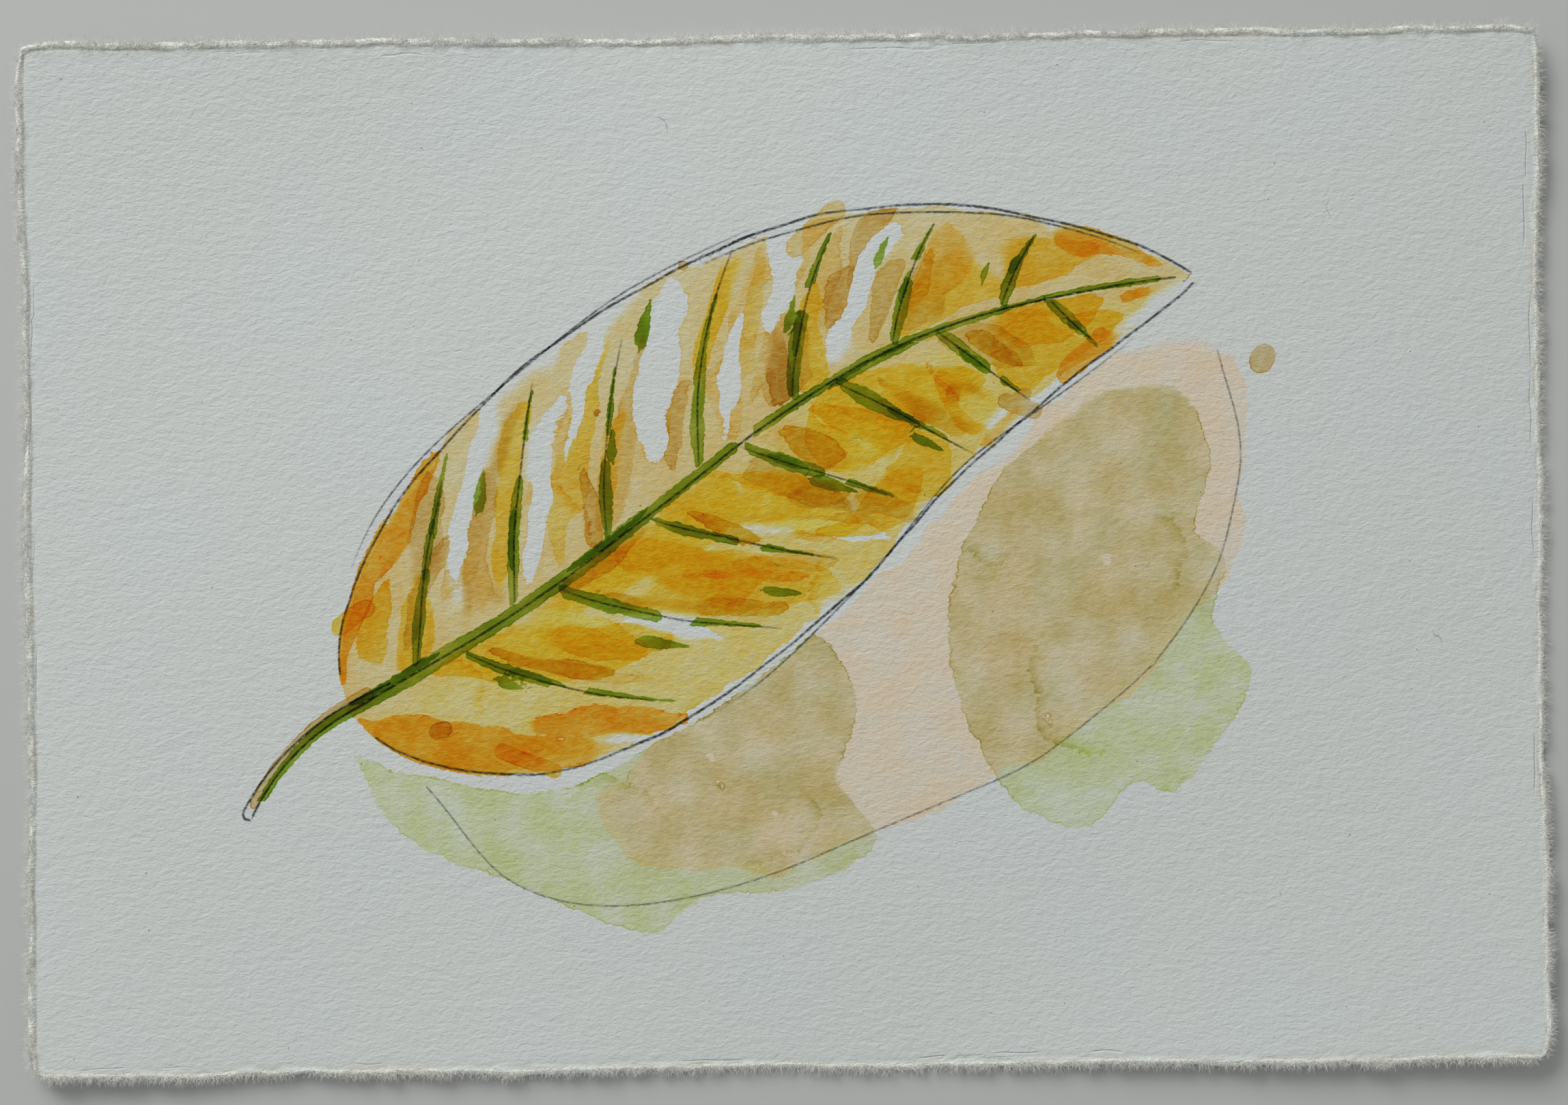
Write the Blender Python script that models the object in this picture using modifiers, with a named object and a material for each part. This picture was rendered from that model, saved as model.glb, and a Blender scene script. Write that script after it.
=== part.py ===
"""A painted sheet of cold-pressed cotton watercolour paper, torn by hand from a larger sheet.

Metres, +Z up. The long side runs along X. The middle of the sheet lies flat on z = 0, with the
origin under its centre. The corners and the edges between them stand a little off the surface,
as paper does once its washes have dried. A sheet of paper is one piece, so the part is one solid.
"""

import math
import random

import bmesh
import bpy
import numpy as np

# The sheet: an eighth of a 22 x 30 in full sheet of 300 g/m2 cotton paper.
SHEET_WIDTH = 0.2794  # along X, 11 in
SHEET_DEPTH = 0.1905  # along Y, 7.5 in
THICKNESS = 0.0005

# The torn edges: the paper thins out across a narrow band, and the torn line strays inwards.
FEATHER = 0.0016  # width of the band
EDGE_SHARE = 0.35  # share of the thickness left on the torn line
STRAY = 0.0009  # furthest that the torn line lies inside the full rectangle
STRAY_WAVES = ((0.071, 0.5), (0.031, 0.3), (0.0145, 0.2))  # (wavelength, share of STRAY)
STRAY_REACH = 0.008  # how far inwards the grid's lines follow the torn line
STRAY_SEED = 4
CORNER_CUT = 0.0011  # how far the tear rounds each corner off
CORNER_REACH = 0.0035

# The lift of the underside off the surface, worked out from the middle outwards.
CORNER_LIFT = {  # (side along X, side along Y): height of that corner
    (-1, 1): 0.0032,
    (1, 1): 0.0022,
    (-1, -1): 0.0018,
    (1, -1): 0.0027,
}
CORNER_START = 0.5  # share of the way to the corner where its curl begins
COCKLE_LIFT = 0.0005  # height of the shallow waves along the long edges
COCKLE_START = 0.62  # share of the way to the long edge where they begin
COCKLE_LENGTH = 0.118  # from crest to crest
COCKLE_PHASE = {1: 1.2, -1: -0.7}  # where the waves of the far and the near long edge begin

# The grid that the surface is drawn on.
LINE_GAP = 0.0043

PAPER_COLOUR = (0.74, 0.76, 0.73)
PAPER_ROUGHNESS = 0.85
SHARP_EDGE = math.radians(40)


def clear_scene():
    for thing in list(bpy.data.objects):
        bpy.data.objects.remove(thing)


def line_places(length):
    """Places of the grid's lines from -length/2 to length/2: close at the torn edges, even between."""
    inner = length / 2 - FEATHER
    lines = round(2 * inner / LINE_GAP) + 1
    rim = [length / 2 - FEATHER / 2, length / 2]
    return np.array([-rim[1], -rim[0], *np.linspace(-inner, inner, lines), *rim])


def stray_along(places, draw):
    """Distance that one torn line lies inside the full rectangle, at each place along it."""
    waves = sum(
        share * np.sin(2 * math.pi * (places / wavelength + draw.random()))
        for wavelength, share in STRAY_WAVES
    )
    waves = (waves.max() - waves) / (waves.max() - waves.min())
    to_corner = places[-1] - np.abs(places)
    return STRAY * waves + CORNER_CUT * np.exp(-to_corner / CORNER_REACH)


def follow(distance):
    """Share of the torn line's stray that a point this far from the edge still takes."""
    return max(0.0, 1 - distance / STRAY_REACH) ** 2


def thickness_share(distance):
    """Share of the full thickness at this distance from the torn line."""
    return EDGE_SHARE + (1 - EDGE_SHARE) * min(1.0, distance / FEATHER)


def ramp(value, start):
    """0 up to start, then a parabola that reaches 1 at 1."""
    return max(0.0, (value - start) / (1 - start)) ** 2


def lift(x, y):
    """Height of the underside: a curl across each corner, and shallow waves along the long edges."""
    along, across = 2 * x / SHEET_WIDTH, 2 * y / SHEET_DEPTH
    curl = sum(
        height * ramp((side_x * along + side_y * across) / 2, CORNER_START)
        for (side_x, side_y), height in CORNER_LIFT.items()
    )
    phase = COCKLE_PHASE[1 if y > 0 else -1]
    wave = 0.5 - 0.5 * math.cos(2 * math.pi * x / COCKLE_LENGTH + phase)
    return curl + COCKLE_LIFT * wave * ramp(abs(across), COCKLE_START)


def paper_material():
    material = bpy.data.materials.new("painted_cotton_paper")
    material.use_nodes = True
    finish = material.node_tree.nodes["Principled BSDF"]
    finish.inputs["Base Color"].default_value = (*PAPER_COLOUR, 1)
    finish.inputs["Roughness"].default_value = PAPER_ROUGHNESS
    finish.inputs["Metallic"].default_value = 0.0
    return material


def painted_sheet():
    """The underside is a grid bent to its outline and lift, and Solidify grows the paper upwards."""
    xs, ys = line_places(SHEET_WIDTH), line_places(SHEET_DEPTH)
    draw = random.Random(STRAY_SEED)
    left, right = stray_along(ys, draw), stray_along(ys, draw)
    bottom, top = stray_along(xs, draw), stray_along(xs, draw)

    form = bmesh.new()
    bmesh.ops.create_grid(form, x_segments=len(xs) - 1, y_segments=len(ys) - 1, size=1.0)
    shares = []
    for point in form.verts:
        column = round((point.co.x + 1) / 2 * (len(xs) - 1))
        row = round((point.co.y + 1) / 2 * (len(ys) - 1))
        x, y = xs[column], ys[row]
        from_left, from_right = x - xs[0], xs[-1] - x
        from_bottom, from_top = y - ys[0], ys[-1] - y
        shares.append(thickness_share(min(from_left, from_right, from_bottom, from_top)))
        x += follow(from_left) * left[row] - follow(from_right) * right[row]
        y += follow(from_bottom) * bottom[column] - follow(from_top) * top[column]
        point.co = (x, y, lift(x, y))
    mesh = bpy.data.meshes.new("painted_sheet")
    form.to_mesh(mesh)
    form.free()

    sheet = bpy.data.objects.new("painted_sheet", mesh)
    sheet.data.materials.append(paper_material())
    body = sheet.vertex_groups.new(name="body of the paper")
    for index, share in enumerate(shares):
        body.add([index], share, "REPLACE")

    grow = sheet.modifiers.new("paper thickness", "SOLIDIFY")
    grow.thickness = THICKNESS
    grow.offset = 1.0
    grow.vertex_group = body.name
    mesh.shade_smooth()
    mesh.set_sharp_from_angle(angle=SHARP_EDGE)
    return sheet


clear_scene()
parts = bpy.data.collections.new("painted watercolour sheet")
bpy.context.scene.collection.children.link(parts)
parts.objects.link(painted_sheet())
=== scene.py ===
"""A leaf study in pencil and watercolour on a hand-torn sheet of cold-pressed cotton paper.

The meshes are in metres. What is drawn and painted is laid out in millimetres on the sheet,
x to the right and y up from its centre.
"""

import math
import random

import bpy
import numpy as np
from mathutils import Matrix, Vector, noise


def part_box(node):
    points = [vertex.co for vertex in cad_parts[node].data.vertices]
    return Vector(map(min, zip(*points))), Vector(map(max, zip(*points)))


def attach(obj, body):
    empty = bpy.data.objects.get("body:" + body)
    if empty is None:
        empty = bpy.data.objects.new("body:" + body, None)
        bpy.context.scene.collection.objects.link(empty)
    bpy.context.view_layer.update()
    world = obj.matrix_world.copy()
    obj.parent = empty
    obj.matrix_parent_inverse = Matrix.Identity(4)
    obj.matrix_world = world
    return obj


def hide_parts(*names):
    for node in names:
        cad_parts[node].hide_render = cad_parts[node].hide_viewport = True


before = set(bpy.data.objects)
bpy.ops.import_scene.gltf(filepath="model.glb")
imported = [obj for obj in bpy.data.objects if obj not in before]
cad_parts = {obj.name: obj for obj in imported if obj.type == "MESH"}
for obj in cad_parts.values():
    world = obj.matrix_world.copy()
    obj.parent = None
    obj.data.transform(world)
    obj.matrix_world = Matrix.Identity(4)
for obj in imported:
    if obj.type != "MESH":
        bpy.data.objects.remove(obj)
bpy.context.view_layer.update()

# ============================================================
# The sheet: 300 g/m2 cold-pressed cotton paper, an eighth torn by hand from a full sheet. The tear
# thins the paper and leaves a raised lip of loosened fibre with a shallow groove just inside it.
# The pencil drawing and the washes are films on its upper face, so they are part of its finish.
# ============================================================

# ---- its form ----

MM = 0.001
LINE_GAP = 0.82  # between the lines of the fine grid on the upper face
UNDER_STEP = 4  # the underside keeps every fourth line
RIM_IN = np.array((0.0, 0.5, 0.95, 1.35, 1.8, 2.4))  # distances in from the torn line
RIM_TOP = np.array((0.13, 0.42, 0.48, 0.36, 0.46, 0.5))  # height of the upper face at each of them
LIP_RAISE = 0.17  # further height of the loosened lip, at the second and third of them
FELT_DEPTH = 0.028  # of the press felt's coarse marks; the fine ones are in the material
SHARP_EDGE = math.radians(75)

sheet_low, sheet_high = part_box("painted_sheet")
WIDTH = (sheet_high.x - sheet_low.x) / MM
DEPTH = (sheet_high.y - sheet_low.y) / MM

STRAY = 0.9  # the torn line's wandering, as on the frame's solid
STRAY_WAVES = ((71.0, 0.5), (31.0, 0.3), (14.5, 0.2))
STRAY_REACH = 8.0
STRAY_SEED = 4
CORNER_CUT = 1.1
CORNER_REACH = 3.5
CORNER_LIFT = {(-1, 1): 3.2, (1, 1): 2.2, (-1, -1): 1.8, (1, -1): 2.7}
CORNER_START = 0.5
COCKLE_LIFT = 0.5
COCKLE_START = 0.62
COCKLE_LENGTH = 118.0
COCKLE_PHASE = {1: 1.2, -1: -0.7}
TATTER = 0.26  # the finer raggedness of the torn line, which the solid leaves out
TATTER_REACH = 1.3


def grid_lines(length):
    """Places of the grid's lines across the sheet: close at the torn edges, even between them."""
    inner = length / 2 - RIM_IN[-1]
    even = np.linspace(-inner, inner, round(2 * inner / LINE_GAP) + 1)
    rim = length / 2 - RIM_IN[:-1]
    return np.concatenate([-rim, even, rim[::-1]])


def stray_along(places, draw):
    """Distance that one torn line lies inside the full rectangle, at each place along it."""
    waves = sum(
        share * np.sin(2 * math.pi * (places / wavelength + draw.random()))
        for wavelength, share in STRAY_WAVES
    )
    waves = (waves.max() - waves) / (waves.max() - waves.min())
    to_corner = places[-1] - np.abs(places)
    return STRAY * waves + CORNER_CUT * np.exp(-to_corner / CORNER_REACH)


def rough(across, along, size, seed):
    """Smooth noise from -1 to 1 at each point, with features about `size` millimetres long."""
    spots = zip(np.ravel(across) / size, np.ravel(along) / size)
    values = [noise.noise(Vector((a, b, seed))) for a, b in spots]
    return np.array(values).reshape(np.shape(across))


def layered(across, along, *layers):
    """Smooth noises laid over each other, each given as its share, its size and its seed."""
    return sum(share * rough(across, along, size, seed) for share, size, seed in layers)


def tatter_along(places, seed):
    """The torn line's fine raggedness at each place along it."""
    still = np.zeros_like(places)
    layers = ((1.0, 5.5, seed + 0.2), (1.0, 2.1, seed), (0.6, 0.9, seed + 0.5))
    return TATTER * layered(places, still, *layers)


def ramp(value, start):
    """0 up to start, then a parabola that reaches 1 at 1."""
    return np.clip((value - start) / (1 - start), 0, None) ** 2


def lift(x, y):
    """Height of the underside: a curl across each corner, and shallow waves along the long edges."""
    along, across = 2 * x / WIDTH, 2 * y / DEPTH
    curl = sum(
        height * ramp((side_x * along + side_y * across) / 2, CORNER_START)
        for (side_x, side_y), height in CORNER_LIFT.items()
    )
    phase = np.where(y > 0, COCKLE_PHASE[1], COCKLE_PHASE[-1])
    wave = 0.5 - 0.5 * np.cos(2 * math.pi * x / COCKLE_LENGTH + phase)
    return curl + COCKLE_LIFT * wave * ramp(np.abs(across), COCKLE_START)


line_x, line_y = grid_lines(WIDTH), grid_lines(DEPTH)
X, Y = np.meshgrid(line_x, line_y)
sides = {
    "left": (X - line_x[0], line_y, 0),
    "right": (line_x[-1] - X, line_y, 0),
    "bottom": (Y - line_y[0], line_x, 1),
    "top": (line_y[-1] - Y, line_x, 1),
}
rim_distance = np.min([distance for distance, _, _ in sides.values()], axis=0)
draw = random.Random(STRAY_SEED)
shifts = []
for seed, (distance, places, axis) in enumerate(sides.values()):
    coarse = np.clip(1 - distance / STRAY_REACH, 0, None) ** 2
    fine = np.clip(1 - distance / TATTER_REACH, 0, None)
    stray = np.expand_dims(stray_along(places, draw), 1 - axis)
    tatter = np.expand_dims(tatter_along(places, seed + 3.3), 1 - axis)
    shifts.append(coarse * stray + fine * tatter)
X = X + shifts[0] - shifts[1]
Y = Y + shifts[2] - shifts[3]

worn = rim_distance * (1 + layered(X, Y, (0.5, 4.0, 7.7), (0.35, 1.7, 1.1)))
lumps = layered(X + Y, X - Y, (0.9, 3.0, 8.1), (0.6, 1.2, 4.9))
lip = np.interp(worn, RIM_IN[:4], (0, 1, 1, 0)) * (1 + lumps)
felt = rough(X / 1.9, Y, 1.7, 2.2) + 0.8 * rough(X / 1.6, Y, 3.4, 5.7)
flat_share = np.clip(rim_distance / RIM_IN[-1], 0, 1)
under = lift(X, Y)
upper = under + np.interp(worn, RIM_IN, RIM_TOP) + LIP_RAISE * lip + FELT_DEPTH * felt * flat_share
upper_points = np.stack([X, Y, upper], -1).reshape(-1, 3)
grid = np.arange(X.size).reshape(X.shape)  # their numbers
columns, rows = (sorted({*range(0, count, UNDER_STEP), count - 1}) for count in (len(line_x), len(line_y)))
kept_below = np.ix_(rows, columns)


def quads(grid):
    """The faces between a grid's points, each as the numbers of its corners."""
    return np.stack([grid[:-1, :-1], grid[:-1, 1:], grid[1:, 1:], grid[1:, :-1]], -1).reshape(-1, 4)


def sheet_mesh():
    """The fine upper face, the coarser underside, and a wall of many-sided faces between their rims."""
    points = np.concatenate([upper_points, np.stack([X, Y, under], -1)[kept_below].reshape(-1, 3)])
    numbers = np.arange(grid.size, len(points)).reshape(len(rows), len(columns))
    faces = quads(grid).tolist() + quads(numbers)[:, (0, 3, 2, 1)].tolist()
    below = dict(zip(grid[kept_below].ravel().tolist(), numbers.ravel().tolist()))
    rim = [*grid[0, :-1], *grid[:-1, -1], *grid[-1, :0:-1], *grid[:0:-1, 0], grid[0, 0]]
    run = []
    for point in map(int, rim):
        run.append(point)
        if point in below and len(run) > 1:
            faces.append((below[run[0]], below[point], *reversed(run)))
            run = [point]

    mesh = bpy.data.meshes.new("painted sheet")
    mesh.from_pydata((points * MM).tolist(), [], faces)
    mesh.shade_smooth()
    mesh.set_sharp_from_angle(angle=SHARP_EDGE)
    return mesh


def placed(name, data):
    """A new object in the scene, at the origin."""
    thing = bpy.data.objects.new(name, data)
    bpy.context.scene.collection.objects.link(thing)
    return thing


def write(mesh, name, kind, field, values):
    """Adds an attribute to a mesh, with a value, vector or colour for each of its points."""
    mesh.attributes.new(name, kind, "POINT").data.foreach_set(field, values.astype(np.float32).ravel())


mesh = sheet_mesh()
sheet = placed("watercolour_sheet", mesh)
in_from_tear = np.concatenate([rim_distance.ravel(), rim_distance[kept_below].ravel()])
write(mesh, "in from the tear", "FLOAT", "value", in_from_tear)

# ---- the motif: one broad leaf, drawn from its foot at the lower left to its tip at the upper right ----

x, y = X.ravel(), Y.ravel()
spots = np.column_stack([x, y])

LEAF_FOOT = np.array((-80.0, -28.0))
LEAF_TIP = np.array((76.0, 50.0))
MIDRIB_BOW = 11.0  # how far the midrib bows to its left
MIDRIB_SWAY = -4.5  # and how far its two halves sway to either side of that
BLADE_HALF = 35.0
BLADE_FULLNESS = (0.58, 0.92)  # how fast the blade widens at the foot, and narrows to the tip
VEIN_FEET = 14.0 + 21.0 * np.arange(7)  # distances along the midrib
VEIN_LAG = 8.5  # the lower side's veins start this much further on
VEIN_SWEEP = (0.62, 0.0085)  # how fast they lean to the tip at their feet, and how much faster further out
VEIN_SLANT = 0.8  # share of a distance along the midrib that is left square to the veins
MARGIN_SLANT = 0.88  # and share of one across it that is left square to the margin
BEFORE_FOOT, PAST_TIP = 30.0, 20.0  # how far places along the midrib are told apart past its ends
CHORD = LEAF_TIP - LEAF_FOOT
LENGTH = math.hypot(*CHORD)
ACROSS = np.array((-CHORD[1], CHORD[0])) / LENGTH


def from_stretch(points, a, b):
    """How points lie to the stretch from a to b: share of its length, distance, distance to its left."""
    step, rel = b - a, points - a
    span = math.hypot(*step)
    share = rel @ step / span**2
    gap = np.hypot(*(rel - np.clip(share, 0, 1)[:, None] * step).T)
    return share, gap, (step[0] * rel[:, 1] - step[1] * rel[:, 0]) / span


def midrib(along):
    """Points of the midrib at distances along it from the leaf's foot."""
    share = np.atleast_1d(along)[:, None] / LENGTH
    bend = MIDRIB_BOW * np.sin(math.pi * share) + MIDRIB_SWAY * np.sin(2 * math.pi * share)
    return LEAF_FOOT + share * CHORD + bend * ACROSS


def leaf_points(along, side):
    """Points at distances along the midrib and to its left, as far as the blade is concerned."""
    along = np.atleast_1d(along)
    ahead = midrib(along + 0.5) - midrib(along - 0.5)
    ahead /= np.linalg.norm(ahead, axis=1)[:, None]
    return midrib(along) + np.column_stack([-ahead[:, 1], ahead[:, 0]]) * np.atleast_1d(side)[:, None]


def blade_half(along):
    """Half of the blade's width at a distance along the midrib."""
    share = np.clip(np.asarray(along) / LENGTH, 0, 1)
    opening, closing = BLADE_FULLNESS
    widest = opening / (opening + closing)
    peak = widest**opening * (1 - widest) ** closing
    return BLADE_HALF * share**opening * (1 - share) ** closing / peak


def sweep(side):
    """How far towards the tip a side vein has run at this distance from the midrib."""
    return VEIN_SWEEP[0] * np.abs(side) + VEIN_SWEEP[1] * np.square(side)


def vein_path(foot, side, start, stop):
    """A stretch of the side vein from its foot on the midrib to the margin, on side +1 or -1."""
    out = np.linspace(0, BLADE_HALF + 4, 160)
    out = out[out < blade_half(foot + sweep(out))]
    out = np.interp(np.linspace(start, stop, 14), np.linspace(0, 1, len(out)), out)
    return leaf_points(foot + sweep(out), side * out)


def leaf_place(points):
    """(distance along the midrib, distance to its left) of points on the sheet."""
    run = np.linspace(-BEFORE_FOOT, LENGTH + PAST_TIP, 200)
    ribs = midrib(run)
    best = np.full(len(points), np.inf)
    along, left = np.zeros(len(points)), np.zeros(len(points))
    for start, stop, a, b in zip(run, run[1:], ribs, ribs[1:]):
        share, gap, aside = from_stretch(points, a, b)
        near = gap < best
        best[near] = gap[near]
        left[near] = (gap * np.sign(aside))[near]
        along[near] = (start + np.clip(share, 0, 1) * (stop - start))[near]
    return along, left


along_leaf, left_of_rib = leaf_place(spots)
out_from_rib = np.abs(left_of_rib)
vein_place = along_leaf - sweep(out_from_rib) - np.where(left_of_rib < 0, VEIN_LAG, 0)
in_blade = (blade_half(along_leaf) - out_from_rib) * MARGIN_SLANT
in_blade = np.minimum(in_blade, np.minimum(along_leaf + 1, LENGTH - along_leaf))

# ---- the pencil drawing, in graphite under the washes ----

FAR = 6.0  # a distance that counts as nowhere near


def jitter(path, size, reach, draw):
    """The path as a hand draws it, straying up to `reach` in waves about `size` long."""
    steps = np.cumsum(np.hypot(*np.diff(path, axis=0, prepend=path[:1]).T))
    seed = draw.uniform(0, 50)
    return path + reach * np.column_stack(
        [rough(steps, np.full_like(steps, lane), size, seed) for lane in (3.0, 40.0)]
    )


def tapered(count, middle, ends):
    """Half-widths or strengths along a stroke: full in the middle, less at both ends."""
    share = np.linspace(0, 1, count)
    return middle * (ends + (1 - ends) * np.clip(np.sin(math.pi * share) * 2.2, 0, 1))


def rounded(points, count=60):
    """A smooth path through given points."""
    points = np.array(points, float)
    ends = np.vstack([2 * points[0] - points[1], points, 2 * points[-1] - points[-2]])
    path = []
    for i in range(1, len(ends) - 2):
        a, b, c, d = ends[i - 1 : i + 3]
        t = np.linspace(0, 1, count // (len(points) - 1), endpoint=i == len(ends) - 3)[:, None]
        square, cube = t**2, t**3
        path.append(0.5 * (2 * b + (c - a) * t + (2 * a - 5 * b + 4 * c - d) * square
                           + (3 * b - a - 3 * c + d) * cube))
    return np.vstack(path)


def store(name, kind, field, columns, away):
    """Puts values for the upper face's points on the mesh, and `away` on all its other points."""
    full = np.tile(np.array(away, float), (len(mesh.vertices), 1))
    full[: len(spots)] = np.column_stack(columns)
    write(mesh, name, kind, field, full)


STROKE_REACH = 3.5  # how far out from a stroke distances are measured
STROKE_MARGIN = 1.5  # how far around a stroke its distances are kept
OFF_STROKE = -30.0  # the half-width beyond that, which no distance can outweigh
UNREACHED = 9.0  # the distance of a point that no stroke came near


def points_near(path, reach):
    """Numbers of the points in the box around a path, widened by `reach`."""
    return np.flatnonzero(((spots > path.min(0) - reach) & (spots < path.max(0) + reach)).all(1))


def add_lines(name, strokes, blunt=1.0, slant=0.0):
    """Stores what the finish needs to draw thin strokes: (path, half-widths, strengths) of each.

    Every point gets its sideways distance from the nearest stroke, with its sign, so that the line
    stays thin between the points of the grid, and that stroke's half-width and strength there. A
    stroke may start bluntly, on a slant, as a flat brush does.
    """
    offset = np.full(len(spots), UNREACHED)
    half = np.full(len(spots), -1.0)
    strength = np.zeros(len(spots))
    for path, widths, strengths in strokes:
        slant = -slant
        near = points_near(path, STROKE_REACH)
        widths = np.broadcast_to(widths, len(path))
        strengths = np.broadcast_to(strengths, len(path))
        for i in range(len(path) - 1):
            share, gap, aside = from_stretch(spots[near], path[i], path[i + 1])
            span = math.hypot(*(path[i + 1] - path[i]))
            inner = np.clip(share, 0, 1)
            width = widths[i] + (widths[i + 1] - widths[i]) * inner
            if i == 0:
                width = width - blunt * np.clip(slant * aside - share * span, 0, None)
            if i == len(path) - 2:
                width = width - np.clip(share - 1, 0, None) * span
            better = (width - gap > half[near] - np.abs(offset[near])) & (gap < STROKE_REACH)
            spot = near[better]
            offset[spot] = (gap * np.sign(aside))[better]
            half[spot] = width[better]
            strength[spot] = (strengths[i] + (strengths[i + 1] - strengths[i]) * inner)[better]
    half[np.abs(offset) > half + STROKE_MARGIN] = OFF_STROKE
    store(name, "FLOAT_VECTOR", "vector", (offset, half, strength), (UNREACHED, OFF_STROKE, 0))


def along_line(run, size, seed):
    """Smooth noise from -1 to 1 at each place along a stroke."""
    return rough(run, np.zeros_like(run), size, seed)


PENCIL_HALF = 0.23
HAIRS = 9
HAIR_HALF = 0.11  # a real one is finer, and would not show
STALK_BEND = 0.012  # of the stalk, per square of the distance before the blade
VEINS = [(side, foot) for side, lag in ((1, 0.0), (-1, VEIN_LAG)) for foot in VEIN_FEET + lag]
draw = random.Random(21)
edge_run = np.linspace(1.5, LENGTH - 0.5, 90)
outline, loose = [], []
for side in (1, -1):
    margin = leaf_points(edge_run, side * (blade_half(edge_run) + 0.3))
    path = jitter(jitter(margin, 26, 1.3, draw), 7, 0.35, draw)
    pressing = 0.95 + 0.4 * along_line(edge_run, 19, side)
    outline.append((path, PENCIL_HALF * (0.6 + 0.45 * pressing), pressing))
    wider = blade_half(edge_run) + 1.5 + 1.2 * np.sin(edge_run / 21 + side)
    path = jitter(leaf_points(edge_run, side * wider), 30, 1.5, draw)
    stretch = slice(6, 56) if side > 0 else slice(26, 84)
    loose.append((path[stretch], PENCIL_HALF * 0.8, tapered(len(path[stretch]), 0.7, 0.1)))
again = leaf_points(edge_run[50:86], blade_half(edge_run[50:86]) - 0.5)
loose.append((jitter(again, 16, 0.9, draw), PENCIL_HALF * 0.9, tapered(36, 0.8, 0.2)))
rib_run = np.linspace(-26, LENGTH - 3, 80)
stalk_bend = np.clip(-rib_run, 0, None) ** 2 * STALK_BEND
pencil_rib = [(jitter(leaf_points(rib_run, -stalk_bend), 24, 0.6, draw), PENCIL_HALF,
               0.95 + 0.3 * along_line(rib_run, 15, 3.3))]
stalk = leaf_points(rib_run[:15], 2.2 - stalk_bend[:15] - 0.04 * (rib_run[:15] + 26))
loose.append((jitter(stalk, 12, 0.4, draw), PENCIL_HALF, 0.9))
stalk_end = leaf_points(rib_run[0] + np.array((0, -0.9, -0.7, 0.2)), np.array((-8.2, -7.4, -6.3, -5.8)))
loose.append((stalk_end, PENCIL_HALF, 0.9))
pencil_veins = []
for side, foot in VEINS:
    path = jitter(vein_path(foot, side, 0.02, draw.uniform(0.8, 1.0)), 15, 0.5, draw)
    pencil_veins.append((path, PENCIL_HALF * 0.85, tapered(len(path), draw.uniform(0.6, 0.9), 0.25)))
SHADOW_SKETCH = ((-66, -42), (-50, -60), (-22, -64), (12, -53), (46, -38), (72, -16), (84, 12), (80, 36))
loose.append((jitter(rounded(SHADOW_SKETCH), 22, 0.9, draw), PENCIL_HALF * 0.8, 0.45))
for _ in range(HAIRS):  # short hairs of bark and linen that the mould left in the sheet
    middle = np.array((draw.uniform(-120, 120), draw.uniform(-80, 80)))
    turn = draw.uniform(0, 2 * math.pi) + np.linspace(0, draw.uniform(0.8, 2.2), 9)
    hair = middle + draw.uniform(0.8, 2.0) * np.column_stack([np.cos(turn), np.sin(turn)])
    loose.append((hair, HAIR_HALF, draw.uniform(0.2, 0.4)))
PENCIL = {
    "pencil outline": outline,
    "pencil loose": loose,
    "pencil rib": pencil_rib,
    "pencil veins": pencil_veins,
}
for name, strokes in PENCIL.items():
    add_lines(name, strokes)

# ---- the washes: transparent watercolour, each laid over the last once that was dry ----


def linear(code):
    """Linear RGB of an sRGB hex colour such as "c9a227"."""
    parts = np.array([int(code[i : i + 2], 16) for i in (0, 2, 4)]) / 255
    return np.where(parts <= 0.04045, parts / 12.92, ((parts + 0.055) / 1.055) ** 2.4)


def absorbed(code):
    """How strongly a wash absorbs each primary, where it turns white paper to this colour."""
    return -np.log(np.clip(linear(code), 0.004, 1))


PEACH_BODY = 0.08  # this one is mixed with white, so it also covers the paper's own grey a little
PIGMENTS = {
    "straw": absorbed("fee3a0"),
    "lemon": absorbed("ffe45c"),
    "gold": absorbed("fed340"),
    "ochre": absorbed("efc33c"),
    "raw sienna": absorbed("ebb830"),
    "orange": absorbed("ffbd3a"),
    "burnt orange": absorbed("ffaa2e"),
    "umber": absorbed("e4c78c"),
    "peach": absorbed("ffecd6") - PEACH_BODY,
    "celadon": absorbed("f0f4ca"),
    "moss": absorbed("e5dbbc"),
}
BLEND = 1.6  # how far pigments laid side by side in one wash run into each other
CORNER = 0.9  # how far the brush rounds off a corner


def smallest(*distances):
    """The smallest of some distances at each point, with the corners rounded off."""
    return -CORNER * np.log(sum(np.exp(-np.clip(gap, -40, 40) / CORNER) for gap in distances))


def strayed(points, wobble, reach):
    """Points moved about, so that what is laid out on them gets a brush's uneven edges."""
    moved = [
        layered(*points.T, (1.0, 13, wobble + lane), (0.45, 4.6, wobble + lane + 1.7)) for lane in (0, 5)
    ]
    return points + reach * np.column_stack(moved)


def inside_mark(path, radii):
    """Distance of every point inside a brush mark, negative outside it."""
    path = np.array(path, float)
    radii = np.broadcast_to(radii, len(path))
    inside = np.full(len(spots), -FAR)
    near = points_near(path, radii.max() + FAR)
    for i in range(len(path) - 1):
        share, gap, _ = from_stretch(spots[near], path[i], path[i + 1])
        radius = radii[i] + (radii[i + 1] - radii[i]) * np.clip(share, 0, 1)
        inside[near] = np.maximum(inside[near], radius - gap)
    return inside


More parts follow.
